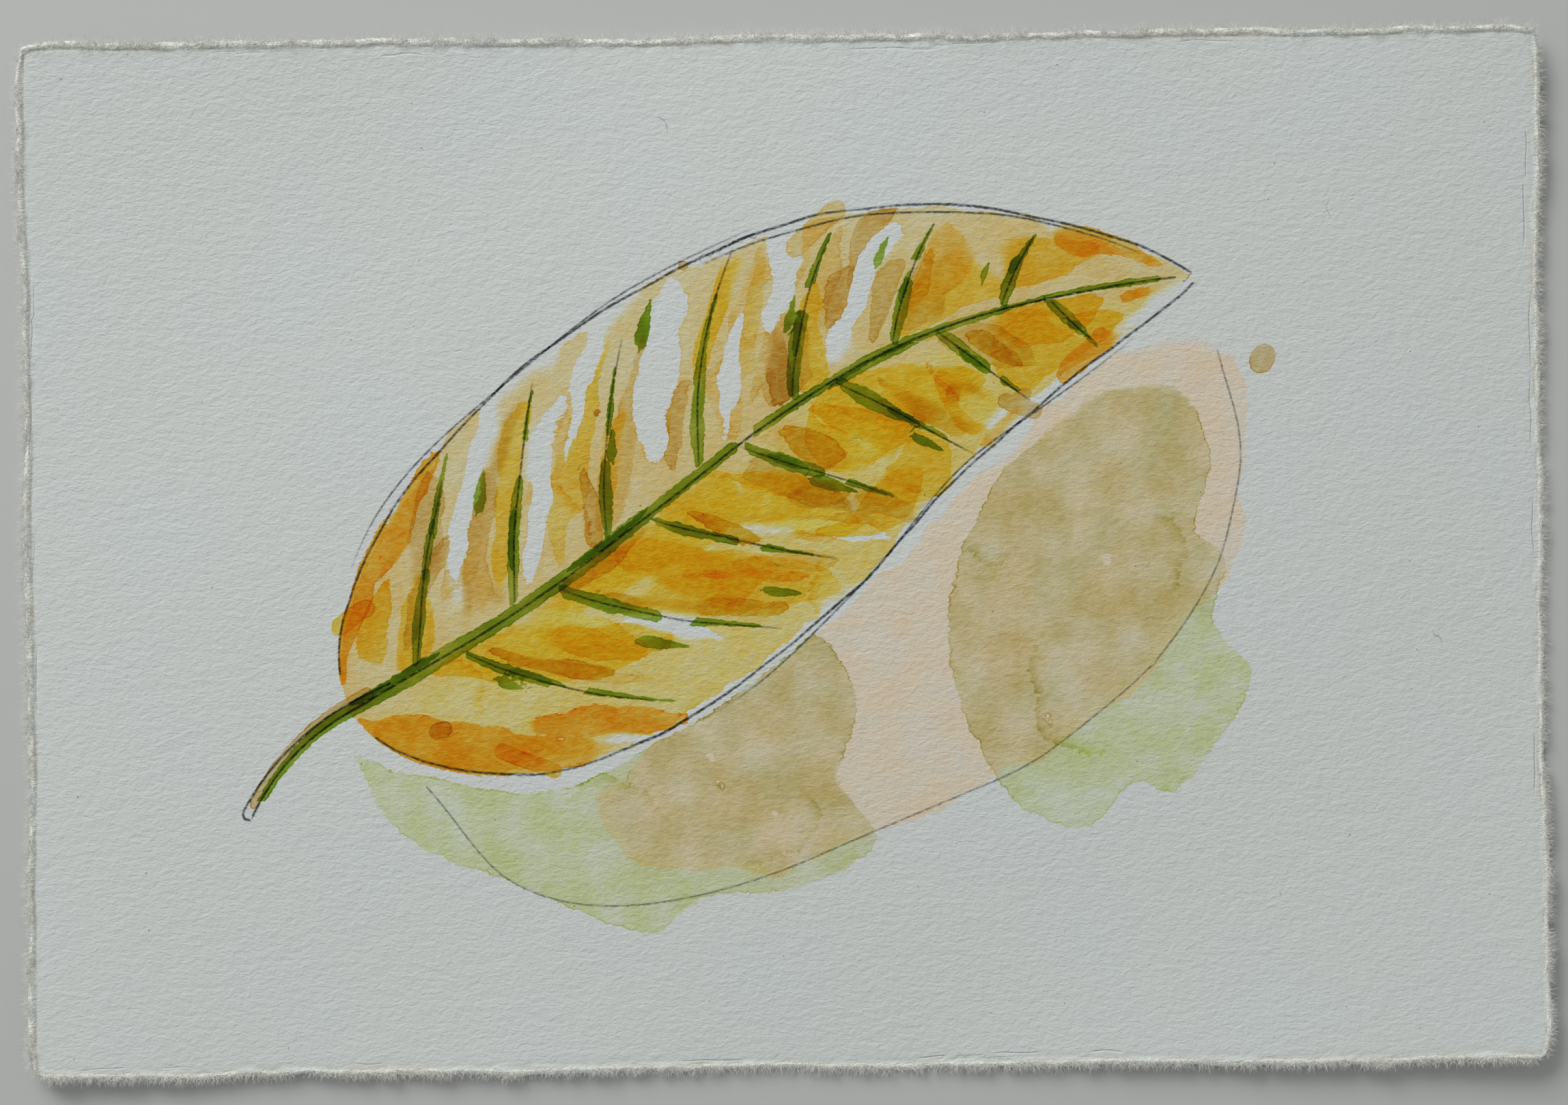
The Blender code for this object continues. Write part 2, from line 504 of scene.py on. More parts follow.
def inside_shape(corners, wobble, reach):
    """Distance of every point inside a loosely painted closed shape, negative outside it."""
    ring = rounded([*corners, corners[0]], 8 * len(corners))
    near = points_near(ring, FAR)
    here = strayed(spots[near], wobble, reach)
    gap = np.full(len(near), np.inf)
    within = np.zeros(len(near), bool)
    for a, b in zip(ring, ring[1:]):
        _, away, aside = from_stretch(here, a, b)
        gap = np.minimum(gap, away)
        level = (a[1] > here[:, 1]) != (b[1] > here[:, 1])
        within ^= level & (aside * (b[1] - a[1]) > 0)
    inside = np.full(len(spots), -FAR)
    inside[near] = np.where(within, gap, -gap)
    return inside


MARK_LEAN = 5.0  # how far a brush mark may lean away from the veins over its length
MARK_POINT = 0.85  # how much of its width it loses towards its end
OVER_RIB, OVER_EDGE = 0.4, 1.2  # how far one may run over the midrib, and over the outline
on_leaf = np.flatnonzero(in_blade > -4)


def panel(side, first, last, inner, outer, waver, both_ends=False):
    """A brush mark beside the midrib, as laid out between the veins.

    It runs between two places along the midrib, and outwards between two shares of the blade. It
    leans a little, and narrows to the end where the brush left the paper, or to both ends.
    """
    wobble = 1.37 * first + 0.61 * last + 11 * side + 40 * inner
    here = strayed(spots[on_leaf], wobble, waver) - spots[on_leaf]
    place = vein_place[on_leaf] + here[:, 0]
    out = out_from_rib[on_leaf] + here[:, 1]
    wide = blade_half(along_leaf[on_leaf])
    share = np.clip((out / np.maximum(wide, 1) - inner) / (outer - inner), 0, 1)
    middle = (first + last) / 2 + MARK_LEAN * math.cos(3 * wobble) * (share - 0.5)
    if both_ends:
        share = np.abs(2 * share - 1)
    elif math.sin(wobble) < 0:
        share = 1 - share
    half = (last - first) / 2 * (1 - MARK_POINT * share**2.5)
    inside = np.full(len(spots), -FAR)
    inside[on_leaf] = smallest(
        (half - np.abs(place - middle)) * VEIN_SLANT,
        out - inner * wide,
        outer * wide - out,
        side * left_of_rib[on_leaf] + OVER_RIB,
        in_blade[on_leaf] + OVER_EDGE,
    )
    return inside


def add_wash(name, marks):
    """Stores one wash: at each point its pigment's absorption, and how far inside the wash it is."""
    inside = np.full(len(spots), -FAR)
    ink, shares = np.zeros((len(spots), 3)), np.zeros(len(spots))
    for reach, pigment, strength in marks:
        inside = np.maximum(inside, reach)
        share = np.exp(np.clip(reach, -FAR, 3) / BLEND)
        ink += (share * strength)[:, None] * PIGMENTS[pigment]
        shares += share
    store(name, "FLOAT_COLOR", "color", (ink / shares[:, None], inside), (0, 0, 0, -FAR))


WHITES = (  # paper left bare between brush strokes: side, first, last, inner, outer
    (1, 20, 25, 0.32, 1.15), (1, 38, 44, 0.06, 0.80), (1, 47, 52, 0.52, 1.20), (1, 62, 70, 0.18, 0.96),
    (1, 81, 85, 0.04, 0.62), (1, 88, 94, 0.44, 1.20), (1, 106, 112, 0.14, 0.84), (-1, 61, 65, 0.34, 1.10),
    (-1, 88, 92, 0.08, 0.62), (-1, 107, 111, 0.50, 1.20), (-1, 29, 33, 0.20, 0.76),
    (-1, 137, 141, 0.20, 0.70),
)
whites = np.max([panel(*white, waver=3.6, both_ends=True) for white in WHITES], axis=0)
slack = layered(x, y, (1.5, 11, 4.4), (0.7, 4, 6.1))
base = np.minimum(in_blade + slack - 0.2, -whites)
add_wash("wash straw", [
    (base, "straw", 1.0),
    (np.minimum(base, -left_of_rib - 2), "lemon", 0.7),
    (np.minimum(base, left_of_rib - 17), "straw", 0.6),
])


def add_panels(name, marks, waver):
    """Stores a wash of panels, each given as side, first, last, inner, outer, pigment and strength."""
    add_wash(name, [(panel(*mark[:5], waver=waver), *mark[5:]) for mark in marks])


VEIL_MARKS = 17
draw = random.Random(9)
for name in ("wash first veil", "wash second veil"):  # thin overlapping marks, mostly straw yellow
    marks = []
    for _ in range(VEIL_MARKS):
        first, inner = draw.uniform(4, 132), draw.uniform(0.0, 0.5)
        mark = panel(draw.choice((1, 1, -1)), first, first + draw.uniform(5, 11), inner,
                     inner + draw.uniform(0.35, 0.75), waver=2.2)
        pigment = draw.choice(("straw", "lemon", "umber"))
        marks.append((np.minimum(mark, -whites), pigment, draw.uniform(0.35, 0.75)))
    add_wash(name, marks)
add_panels("wash lemon", (
    (-1, 8, 33, 0.03, 0.60, "lemon", 0.8), (-1, 26, 72, 0.02, 0.34, "lemon", 0.9),
    (-1, 36, 55, 0.30, 1.02, "gold", 0.5), (-1, 58, 75, 0.20, 0.84, "lemon", 0.9),
    (-1, 72, 98, 0.62, 1.00, "gold", 0.5), (-1, 78, 118, 0.03, 0.58, "lemon", 1.0),
    (-1, 118, 150, 0.06, 0.86, "gold", 0.6), (1, 8, 17, 0.05, 0.60, "lemon", 0.8),
    (1, 29, 36, 0.03, 0.88, "lemon", 0.7), (1, 54, 60, 0.04, 0.52, "gold", 0.45),
    (1, 74, 80, 0.36, 0.94, "lemon", 0.8), (1, 97, 104, 0.03, 0.62, "lemon", 0.9),
    (1, 117, 140, 0.05, 0.56, "lemon", 0.8), (1, 118, 129, 0.50, 0.95, "straw", 0.8),
), 2.0)
add_panels("wash gold", (
    (-1, 21, 32, 0.12, 0.62, "gold", 0.7), (-1, 40, 54, 0.05, 0.66, "gold", 0.75),
    (-1, 60, 88, 0.66, 0.96, "gold", 0.6), (-1, 68, 75, 0.06, 0.60, "lemon", 1.0),
    (-1, 86, 97, 0.05, 0.62, "gold", 0.8), (-1, 103, 117, 0.28, 0.88, "gold", 0.7),
    (-1, 124, 150, 0.04, 0.60, "gold", 0.8), (1, 134, 154, 0.10, 0.80, "gold", 0.8),
    (1, 0, 8, 0.20, 0.80, "gold", 0.8), (1, 119, 123, 0.10, 0.70, "gold", 0.8),
), 2.2)
add_panels("wash ochre", (
    (-1, 15, 20, 0.04, 0.60, "ochre", 0.9), (-1, 30, 58, -0.02, 0.12, "ochre", 0.8),
    (-1, 36, 41, 0.10, 0.86, "raw sienna", 0.6), (-1, 57, 61, 0.04, 0.50, "ochre", 0.9),
    (-1, 78, 86, 0.03, 0.44, "raw sienna", 0.7), (-1, 79, 82, 0.50, 0.90, "ochre", 0.7),
    (-1, 99, 106, 0.10, 0.84, "ochre", 0.9), (-1, 121, 126, 0.06, 0.70, "raw sienna", 0.7),
    (1, 50, 55, 0.02, 0.42, "umber", 0.7), (1, 91, 97, 0.02, 0.48, "umber", 0.8),
    (1, 111, 117, 0.04, 0.62, "umber", 0.7), (1, 28, 33, 0.02, 0.26, "umber", 0.7),
), 1.6)
add_panels("wash orange", (
    (1, -40, 2, 0.12, 1.15, "orange", 0.9), (-1, -40, 4, 0.14, 1.15, "orange", 0.9),
    (-1, 3, 12, 0.66, 1.12, "burnt orange", 0.6), (1, 2, 12, 0.78, 1.15, "orange", 0.8),
    (-1, 46, 49, 0.30, 0.80, "orange", 0.5), (-1, 98, 118, 0.88, 1.12, "orange", 0.7),
    (-1, 126, 160, 0.68, 1.20, "burnt orange", 0.6), (1, 141, 175, 0.50, 1.15, "orange", 0.8),
    (-1, 150, 175, 0.02, 0.60, "orange", 0.7), (-1, 110, 112, 0.12, 0.52, "orange", 0.6),
), 2.4)

DROPS = (  # splashes: place, radius and direction of the tail
    (-18.0, 53.0, 0.9, (0.3, -0.2)), (43.0, 27.5, 1.3, (1.6, 1.0)), (-64.0, -32.0, 1.6, (1.2, 0.4)),
    (88.0, 34.0, 2.3, (0.5, 0.9)), (31.0, 63.5, 0.6, (0.1, 0.1)), (-34.0, 26.0, 0.7, (0.2, 0.0)),
)
marks = [(inside_mark(((a, b), (a + tail[0], b + tail[1])), r), "umber", 0.75) for a, b, r, tail in DROPS]
stalk_run = np.linspace(-24, 4, 12)
bent = 1.0 - np.clip(-stalk_run, 0, None) ** 2 * STALK_BEND
marks.append((inside_mark(leaf_points(stalk_run, bent), np.linspace(0.9, 1.5, 12)), "umber", 0.8))
STRAYS = (  # where the brush ran over the outline: start and end along the midrib, side, radius, pigment
    (12, 6, 1, 1.7, "gold", 0.8), (20, 26, -1, 1.5, "orange", 0.7), (112, 120, 1, 1.9, "straw", 1.0),
    (136, 141, -1, 1.6, "umber", 0.8),
)
for start, stop, side, radius, pigment, strength in STRAYS:
    run = np.linspace(start, stop, 5)
    over = blade_half(run) + np.linspace(-4.0, 1.2, 5)
    marks.append((inside_mark(leaf_points(run, side * over), radius), pigment, strength))
add_wash("wash drops", marks)

# The cast shadow: a rosy wash, and two green ones laid over it, all stopping a little short of the leaf.
# Where they overlap, the green lifts some of the rosy and turns to a mossy brown.
clear_of_leaf = -(in_blade + 1.0 + 1.1 * rough(x, y, 21, 2.9))
ROSY = ((-36, -44), (-20, -32), (4, -16), (30, 8), (52, 28), (70, 41), (83, 34), (86, 12), (79, -8),
        (62, -26), (40, -41), (16, -53), (-8, -59), (-28, -56))
LEFT_SHADE = ((-79, -36), (-66, -41), (-40, -42), (-12, -27), (4, -15), (13, -27), (10, -42), (16, -52),
              (6, -61), (-14, -63), (-26, -70), (-46, -62), (-62, -56), (-74, -48))
RIGHT_SHADE = ((33, 2), (40, 14), (52, 24), (64, 30), (74, 28), (78, 16), (76, 4), (81, -3), (79, -13),
               (85, -23), (80, -35), (71, -45), (64, -43), (54, -51), (42, -46), (34, -33), (30, -16))
SKIPS = ((-14.0, -37.0), (-2.5, -48.0), (-12.5, -42.0), (59.0, -2.0), (48.0, -31.0))
skips = np.max([inside_mark(((a, b), (a + 0.5, b - 1.1)), (0.55, 0.2)) for a, b in SKIPS], axis=0)
rosy = np.minimum(inside_shape(ROSY, 1.7, 2.6), clear_of_leaf)
add_wash("wash rosy", [(rosy, "peach", 1.0)])
for side, corners, wobble in (("left", LEFT_SHADE, 12.3), ("right", RIGHT_SHADE, 31.4)):
    shade = np.minimum(np.minimum(inside_shape(corners, wobble, 1.1), clear_of_leaf), -skips)
    add_wash(f"wash {side} shade", [(shade, "celadon", 1.0), (np.minimum(shade, rosy), "moss", 1.0)])

# ---- tide marks, where water ran back into a drying wash and pushed its pigment into a line ----

BLOOMS = (  # centre, radius, the direction in which the line is strongest, and its strength there
    ((-44.0, 2.0), 10.0, 0.9, 1.0), ((-3.0, 33.0), 8.0, 2.4, 1.0), ((57.0, -24.0), 13.0, 3.7, 1.7),
    ((-32.0, -52.0), 11.0, 1.4, 1.4), ((38.0, 4.0), 6.5, 4.4, 1.0), ((66.0, -2.0), 8.0, 0.2, 1.2),
    ((-4.0, -48.0), 9.0, 5.6, 1.5), ((-62.0, -26.0), 7.0, 0.4, 1.0), ((26.0, 44.0), 6.0, 5.1, 1.0),
    ((12.0, -6.0), 7.5, 3.3, 1.0),
)
in_bloom = np.full(len(spots), -FAR)
bloom_line, around_bloom = np.zeros(len(spots)), np.zeros(len(spots))
for centre, radius, facing, peak in BLOOMS:
    rel = spots - centre
    turn = (np.arctan2(rel[:, 1], rel[:, 0]) - facing + math.pi) % (2 * math.pi) - math.pi
    lobes = radius * (1 + 0.10 * np.sin(3 * turn) + 0.05 * np.sin(7 * turn + radius))
    inside = lobes - np.hypot(*rel.T)
    better = inside > in_bloom
    in_bloom[better] = inside[better]
    bloom_line[better] = peak * np.clip(1.4 * np.cos(turn) - 0.3, 0, 1)[better]
    around_bloom[better] = (radius * turn)[better]
store("blooms", "FLOAT_VECTOR", "vector", (in_bloom, bloom_line, around_bloom), (-FAR, 0, 0))

# ---- the green brush lines over the midrib and veins, and the loose dabs between them ----

BROKEN, DOUBLED = 0.4, 0.55  # shares of the veins whose line lifts off midway, or is gone over again
draw = random.Random(5)
rib_run = np.linspace(-23, LENGTH - 6, 100)
pressure = 1.75 - 1.25 * np.clip(rib_run / LENGTH, 0, 1) + 0.32 * along_line(rib_run, 17, 7.7)
pressure *= np.interp(rib_run, (-23, -8, 10), (0.45, 0.6, 1))
bent = -np.clip(-rib_run, 0, None) ** 2 * STALK_BEND + 0.5 * along_line(rib_run, 21, 1.2)
rib_path = leaf_points(rib_run, bent)
green_rib = [(rib_path[:57], pressure[:57], 1.0), (rib_path[58:], pressure[58:], 0.9)]
green_veins, touches = [], []
for first in (12, 36, 66):
    stretch = slice(first, first + 11)
    beside = leaf_points(rib_run[stretch], bent[stretch] + draw.choice((-0.9, 0.9)))
    touches.append((beside, tapered(11, 0.75, 0.3), 0.9))
for side, foot in VEINS:
    path = jitter(vein_path(foot, side, 0.04, draw.uniform(0.74, 1.0)), 13, 0.5, draw)
    swell = np.interp(np.linspace(0, 1, len(path)), (0, 0.25, 0.6, 1), (0.7, 1.1, 0.8, 0.25))
    half = draw.uniform(0.95, 1.45) * swell * (1 + 0.35 * rough(*path.T, 5, foot))
    if draw.random() < BROKEN:
        cut = draw.randrange(6, 10)
        green_veins += [(path[:cut], half[:cut], 0.9), (path[cut + 1 :], half[cut + 1 :], 0.95)]
    else:
        green_veins.append((path, half, draw.uniform(0.85, 1.1)))
    if draw.random() < DOUBLED:
        first = draw.randrange(2, 7)
        touch = jitter(path[first : first + 5], 9, 0.7, draw) + draw.choice((-0.5, 0.5)) * ACROSS
        touches.append((touch, tapered(5, draw.uniform(0.6, 0.95), 0.35), 0.8))
DABS = (  # (distance along the midrib, distance to its left, length, half-width)
    (40, 19, 8, 1.1), (66, 12, 6, 0.9), (82, 25, 8, 1.2), (104, 12, 7, 0.8), (122, 15, 6, 0.8),
    (26, -9, 5, 1.0), (50, -17, 9, 1.1), (73, -24, 7, 0.9), (93, -13, 9, 1.2), (115, -16, 7, 0.9),
    (138, 6, 4, 0.6),
)
for along, left, length, half in DABS:
    out = np.linspace(abs(left), abs(left) + length * 0.75, 6)
    foot = along - sweep(abs(left))
    dab = leaf_points(foot + sweep(out), math.copysign(1, left) * out)
    touches.append((dab, half * np.array((0.8, 1.1, 1.0, 0.8, 0.5, 0.15)), draw.uniform(0.85, 1.1)))
for name, strokes in (("green rib", green_rib), ("green veins", green_veins), ("green touches", touches)):
    add_lines(name, strokes, blunt=3.5, slant=0.7)

# Fine creases that the tear left beside itself.
CREASE_HALF = 0.09
CREASE_POINTS = 14
creases = []
edges = (line_x[0], line_x[-1], line_y[0], line_y[-1])
for edge, (_, places, axis) in zip(edges, sides.values()):
    for _ in range(9 if axis else 6):
        middle, length = draw.uniform(places[0] + 14, places[-1] - 14), draw.uniform(5, 16)
        run = np.linspace(middle - length / 2, middle + length / 2, CREASE_POINTS)
        deep = draw.uniform(1.5, 2.9) + 0.5 * along_line(run, 5, middle) + STRAY * 0.5
        across = edge - math.copysign(1, edge) * deep
        path = np.column_stack([run, across] if axis else [across, run])
        creases.append((path, CREASE_HALF, tapered(CREASE_POINTS, draw.uniform(0.5, 1.0), 0.0)))
add_lines("creases", creases)

# ---- the finish: matt cold-pressed cotton paper, with the drawing's films soaked into it ----

PAPER = linear("dce4e2")
PAPER_WARM = linear("dfe2de")
GRAIN_DEPTH = 0.135
GRAPHITE = absorbed("55585e")
SAP_GREEN = absorbed("93b535")
LOST_EDGE = 2.4  # how far a wash fades out where the paper was still wet
DAMP = (0.56, 0.66)  # the values of its noise between which that sets in
RIM_WIDTH = 0.36  # of the darker line that a wash dries with
RIM_PATCHES = (0.4, 0.64, 0.0, 3.0)  # from its noise to how strong that line is
POOLS = (0.3, 0.7)  # the values of its noise between which a wash goes from thin to full


def material(name, constants):
    """A new material, its node tree, and its shader with these constants on its own sockets."""
    made = bpy.data.materials.new(name)
    made.use_nodes = True
    finish = made.node_tree.nodes["Principled BSDF"]
    for socket, value in constants.items():
        finish.inputs[socket].default_value = value
    return made, made.node_tree, finish


def add(tree, kind, *inputs, **settings):
    """Adds a node with its settings and its inputs, in order or as one dict by their names.

    An input gets a value or another node's socket. A kind without "Node" in it is a shader node.
    """
    new = tree.nodes.new(kind if "Node" in kind else "ShaderNode" + kind)
    for name, value in settings.items():
        setattr(new, name, value)
    by_name = inputs and isinstance(inputs[0], dict)
    given = inputs[0] if by_name else dict(enumerate(inputs))
    for place, value in given.items():
        if isinstance(value, bpy.types.NodeSocket):
            tree.links.new(value, new.inputs[place])
        else:
            new.inputs[place].default_value = value
    return new.outputs


paper, tree, finish = material("cold-pressed cotton paper with watercolour and graphite",
                               {"Roughness": 0.85, "Specular IOR Level": 0.1})
place = add(tree, "TexCoord")["Object"]
place = add(tree, "VectorMath", place, (1 / MM, 1 / MM, 1 / MM), operation="MULTIPLY")[0]


def mottled(place, sizes, detail, turn=0.0, **more):
    """Noise from 0 to 1, with features of these sizes along and across its own direction."""
    scale = (1 / sizes[0], 1 / sizes[1], 1)
    place = add(tree, "Mapping", {"Vector": place, "Rotation": (0, 0, turn), "Scale": scale})[0]
    look = {"Vector": place, "Scale": 1.0, "Detail": detail, **more}
    return add(tree, "TexNoise", look, noise_dimensions="2D")[0]


# The felt's weave leaves ridges about 0.9 mm apart and twice as long along X, and each leans a little.
swells = mottled(place, (4.5, 2.1), 1.0)
leaning = add(tree, "VectorMath", swells, (0, -0.9, 0), place, operation="MULTIPLY_ADD")[0]
ridges = mottled(leaning, (1.6, 0.85), 3.0, 0.06, Distortion=0.3)
fuzz = mottled(place, (0.7, 0.34), 2.0, -0.2, Distortion=0.4)
relief = add(tree, "Math", swells, 0.5, ridges, operation="MULTIPLY_ADD")[0]
relief = add(tree, "Math", fuzz, 0.5, relief, operation="MULTIPLY_ADD")[0]

# Noise that all the films share: the tooth that frays their edges, the damp places where an edge was
# lost, and the places where the pigment pooled.
ragged = mottled(place, (2.6, 2.6), 3.0, Roughness=0.6)
grain = add(tree, "Math", ridges, 1.3, -0.65, operation="MULTIPLY_ADD")[0]
frayed = add(tree, "Math", ragged, grain, operation="ADD")[0]
damp, pools = [], []
for noises, size, detail, shifts in ((damp, 17.0, 1.0, (0, 90)), (pools, 9.0, 3.0, (30, 150, 260))):
    for shift in shifts:
        shifted = add(tree, "VectorMath", place, (shift, 0.4 * shift, 0), operation="ADD")[0]
        noises.append(mottled(shifted, (size, size), detail))


def film(total, number, edge, ink, wander, soft, rim, pooling, lost):
    """Adds a film to the total absorption; `edge` is how far inside it each point lies.

    Its number picks the noises it follows, and the rest is as in WASHES.
    """
    edge = add(tree, "Math", frayed, 2 * wander, edge, operation="MULTIPLY_ADD")[0]
    full, rim_here = wander + soft, rim
    if lost:
        faded = add(tree, "MapRange", damp[number % len(damp)], *DAMP, 0.0, lost)[0]
        full = add(tree, "Math", faded, LOST_EDGE, full, operation="MULTIPLY_ADD")[0]
        rim_here = add(tree, "Math", faded, -rim, rim, operation="MULTIPLY_ADD")[0]
    mask = add(tree, "MapRange", edge, wander, full, 0.0, 1.0, interpolation_type="SMOOTHSTEP")[0]
    dried = add(tree, "MapRange", edge, wander, wander + RIM_WIDTH, rim_here, 0.0)[0]
    patchy = add(tree, "MapRange", pools[(number + 1) % len(pools)], *RIM_PATCHES)[0]
    pooled = add(tree, "MapRange", pools[number % len(pools)], *POOLS, 1 - pooling, 1 + pooling)[0]
    amount = add(tree, "Math", dried, patchy, pooled, operation="MULTIPLY_ADD")[0]
    amount = add(tree, "Math", amount, mask, operation="MULTIPLY")[0]
    return add(tree, "VectorMath", ink, amount, total, operation="MULTIPLY_ADD")[0]


def line_edge(name):
    """(how far inside the stroke, its strength) at each point, from the attribute of thin strokes."""
    kept = add(tree, "Attribute", attribute_name=name)["Vector"]
    offset, half, strength = add(tree, "SeparateXYZ", kept)
    gap = add(tree, "Math", offset, operation="ABSOLUTE")[0]
    return add(tree, "Math", half, gap, operation="SUBTRACT")[0], strength


total = add(tree, "CombineXYZ")[0]
WASHES = (  # name, how far its edge wanders, its softness, its dried rim, its pooling, its lost edges
    ("wash straw", 0.40, 0.14, 0.55, 0.22, 1.0),
    ("wash first veil", 0.40, 0.12, 0.60, 0.25, 0.7),
    ("wash second veil", 0.40, 0.12, 0.60, 0.25, 0.7),
    ("wash lemon", 0.40, 0.14, 0.45, 0.25, 1.0),
    ("wash gold", 0.40, 0.15, 0.50, 0.30, 1.0),
    ("wash ochre", 0.35, 0.12, 0.60, 0.30, 0.8),
    ("wash orange", 0.45, 0.12, 0.60, 0.35, 0.6),
    ("wash drops", 0.20, 0.10, 0.90, 0.20, 0.0),
    ("wash left shade", 0.45, 0.10, 1.40, 0.50, 0.35),
    ("wash right shade", 0.45, 0.10, 1.40, 0.50, 0.35),
)
ROSY_WASH = (0.50, 0.20, 0.45, 0.30, 1.0)
GREEN_LINES = (0.26, 0.10, 0.30, 0.35, 0.0)
for number, (name, *looks) in enumerate(WASHES, 1):
    kept = add(tree, "Attribute", attribute_name=name)
    total = film(total, number, kept["Alpha"], kept["Color"], *looks)

# A bloom is a little paler inside, and its toothed edge gathers the pigment that is already there.
TOOTH = (1.1, 4.5)  # a tooth's width, and how deep it runs in
TEETH_REACH = 3.4
LINE_START, LINE_PEAK, LINE_END = 1.6, 1.85, 5.5  # places of the line, in from the bloom's edge
BLOOM_PALER = -0.12
kept = add(tree, "Attribute", attribute_name="blooms")["Vector"]
inside, line, around = add(tree, "SeparateXYZ", kept)
teeth = mottled(add(tree, "CombineXYZ", around, inside)[0], TOOTH, 3.0, Roughness=0.7)
inside = add(tree, "Math", teeth, TEETH_REACH, inside, operation="MULTIPLY_ADD")[0]
rising = add(tree, "MapRange", inside, LINE_START, LINE_PEAK, 0.0, 0.95, interpolation_type="SMOOTHSTEP")[0]
falling = add(tree, "MapRange", inside, LINE_PEAK, LINE_END, 1.0, 0.0)[0]
falling = add(tree, "Math", falling, 3.0, operation="POWER")[0]
feathery = add(tree, "MapRange", teeth, 0.35, 0.6, 0.4, 1.5)[0]
falling = add(tree, "Math", falling, feathery, BLOOM_PALER, operation="MULTIPLY_ADD")[0]
tide = add(tree, "Math", rising, falling, operation="MULTIPLY")[0]
gathered = add(tree, "Math", tide, line, 1.0, operation="MULTIPLY_ADD")[0]
# And pigment settles in the hollows of the grain.
settled = add(tree, "MapRange", ridges, 0.3, 0.7, 1.22, 0.8)[0]
gathered = add(tree, "Math", gathered, settled, operation="MULTIPLY")[0]
total = add(tree, "VectorMath", total, gathered, operation="MULTIPLY")[0]

# The rosy wash was dry and fast under the green ones, so it takes no part in the blooms.
kept = add(tree, "Attribute", attribute_name="wash rosy")
total = film(total, 11, kept["Alpha"], kept["Color"], *ROSY_WASH)

for number, name in enumerate(("green rib", "green veins", "green touches"), 20):
    edge, strength = line_edge(name)
    green = add(tree, "VectorMath", tuple(SAP_GREEN), strength, operation="MULTIPLY")[0]
    total = film(total, number, edge, green, *GREEN_LINES)

# Graphite catches on the ridges of the grain and skips its hollows.
tooth = add(tree, "Math", fuzz, 0.5, ridges, operation="MULTIPLY_ADD")[0]
tooth = add(tree, "MapRange", tooth, 0.62, 0.84, 0.5, 1.25)[0]
for name in PENCIL:
    edge, strength = line_edge(name)
    edge = add(tree, "Math", fuzz, 0.12, edge, operation="MULTIPLY_ADD")[0]
    mask = add(tree, "MapRange", edge, -0.02, 0.22, 0.0, 0.85)[0]
    amount = add(tree, "Math", mask, strength, operation="MULTIPLY")[0]
    amount = add(tree, "Math", amount, tooth, operation="MULTIPLY")[0]
    total = add(tree, "VectorMath", tuple(GRAPHITE), amount, total, operation="MULTIPLY_ADD")[0]

# A few dark specks of dust and bark that the mould left in the paper.
SPECK_GAP = 13.0
SPECK_INK = (0.9, 1.0, 1.1)
SPECK_SHARE = 0.012  # radius of the largest, as a share of that
cells = add(tree, "TexVoronoi", {"Vector": place, "Scale": 1 / SPECK_GAP}, voronoi_dimensions="2D")
chance = add(tree, "SeparateXYZ", cells["Color"])[0]
size = add(tree, "MapRange", chance, 0.45, 1.0, 0.0, SPECK_SHARE)[0]
speck = add(tree, "Math", cells["Distance"], size, operation="LESS_THAN")[0]
total = add(tree, "VectorMath", SPECK_INK, speck, total, operation="MULTIPLY_ADD")[0]

# The torn rim is unsized cotton: creamier than the face and roughly fibrous. Its lip is also painted far
# lighter than the face, a painted highlight, and the groove inside it gets a warm painted shade.
CREAM_AND_HIGHLIGHT, TAN_SHADE = (-0.22, -0.19, -0.13), (0.12, 0.17, 0.25)  # what they absorb, against the face
CREASE_DEPTH = -0.9
torn = add(tree, "Attribute", attribute_name="in from the tear")["Fac"]
torn = add(tree, "Math", ragged, 0.9, torn, operation="MULTIPLY_ADD")[0]
# Cream of the loose cotton together with a painted highlight: the lip is lightened as where it catches the
# light.
cream_and_highlight = add(tree, "MapRange", torn, 1.1, 1.8, 1.0, 0.0)[0]
total = add(tree, "VectorMath", CREAM_AND_HIGHLIGHT, cream_and_highlight, total, operation="MULTIPLY_ADD")[0]
# Painted shade: a warm tan darkening in the groove just inside the lip, stronger along some stretches than
# others.
groove_in = add(tree, "MapRange", torn, 1.5, 1.75, 0.0, 1.0)[0]
groove_out = add(tree, "MapRange", torn, 1.85, 2.25, 1.0, 0.0)[0]
groove = add(tree, "Math", groove_in, groove_out, operation="MULTIPLY")[0]
stretches = add(tree, "MapRange", pools[0], 0.4, 0.6, 0.15, 1.4)[0]
groove = add(tree, "Math", groove, stretches, operation="MULTIPLY")[0]
total = add(tree, "VectorMath", TAN_SHADE, groove, total, operation="MULTIPLY_ADD")[0]
loosened = add(tree, "MapRange", torn, 1.2, 2.2, 1.0, 0.0)[0]
hairy = add(tree, "Math", fuzz, loosened, operation="MULTIPLY")[0]
relief = add(tree, "Math", hairy, 1.6, relief, operation="MULTIPLY_ADD")[0]
edge, strength = line_edge("creases")
crease = add(tree, "MapRange", edge, -0.12, 0.08, 0.0, CREASE_DEPTH)[0]
relief = add(tree, "Math", crease, strength, relief, operation="MULTIPLY_ADD")[0]

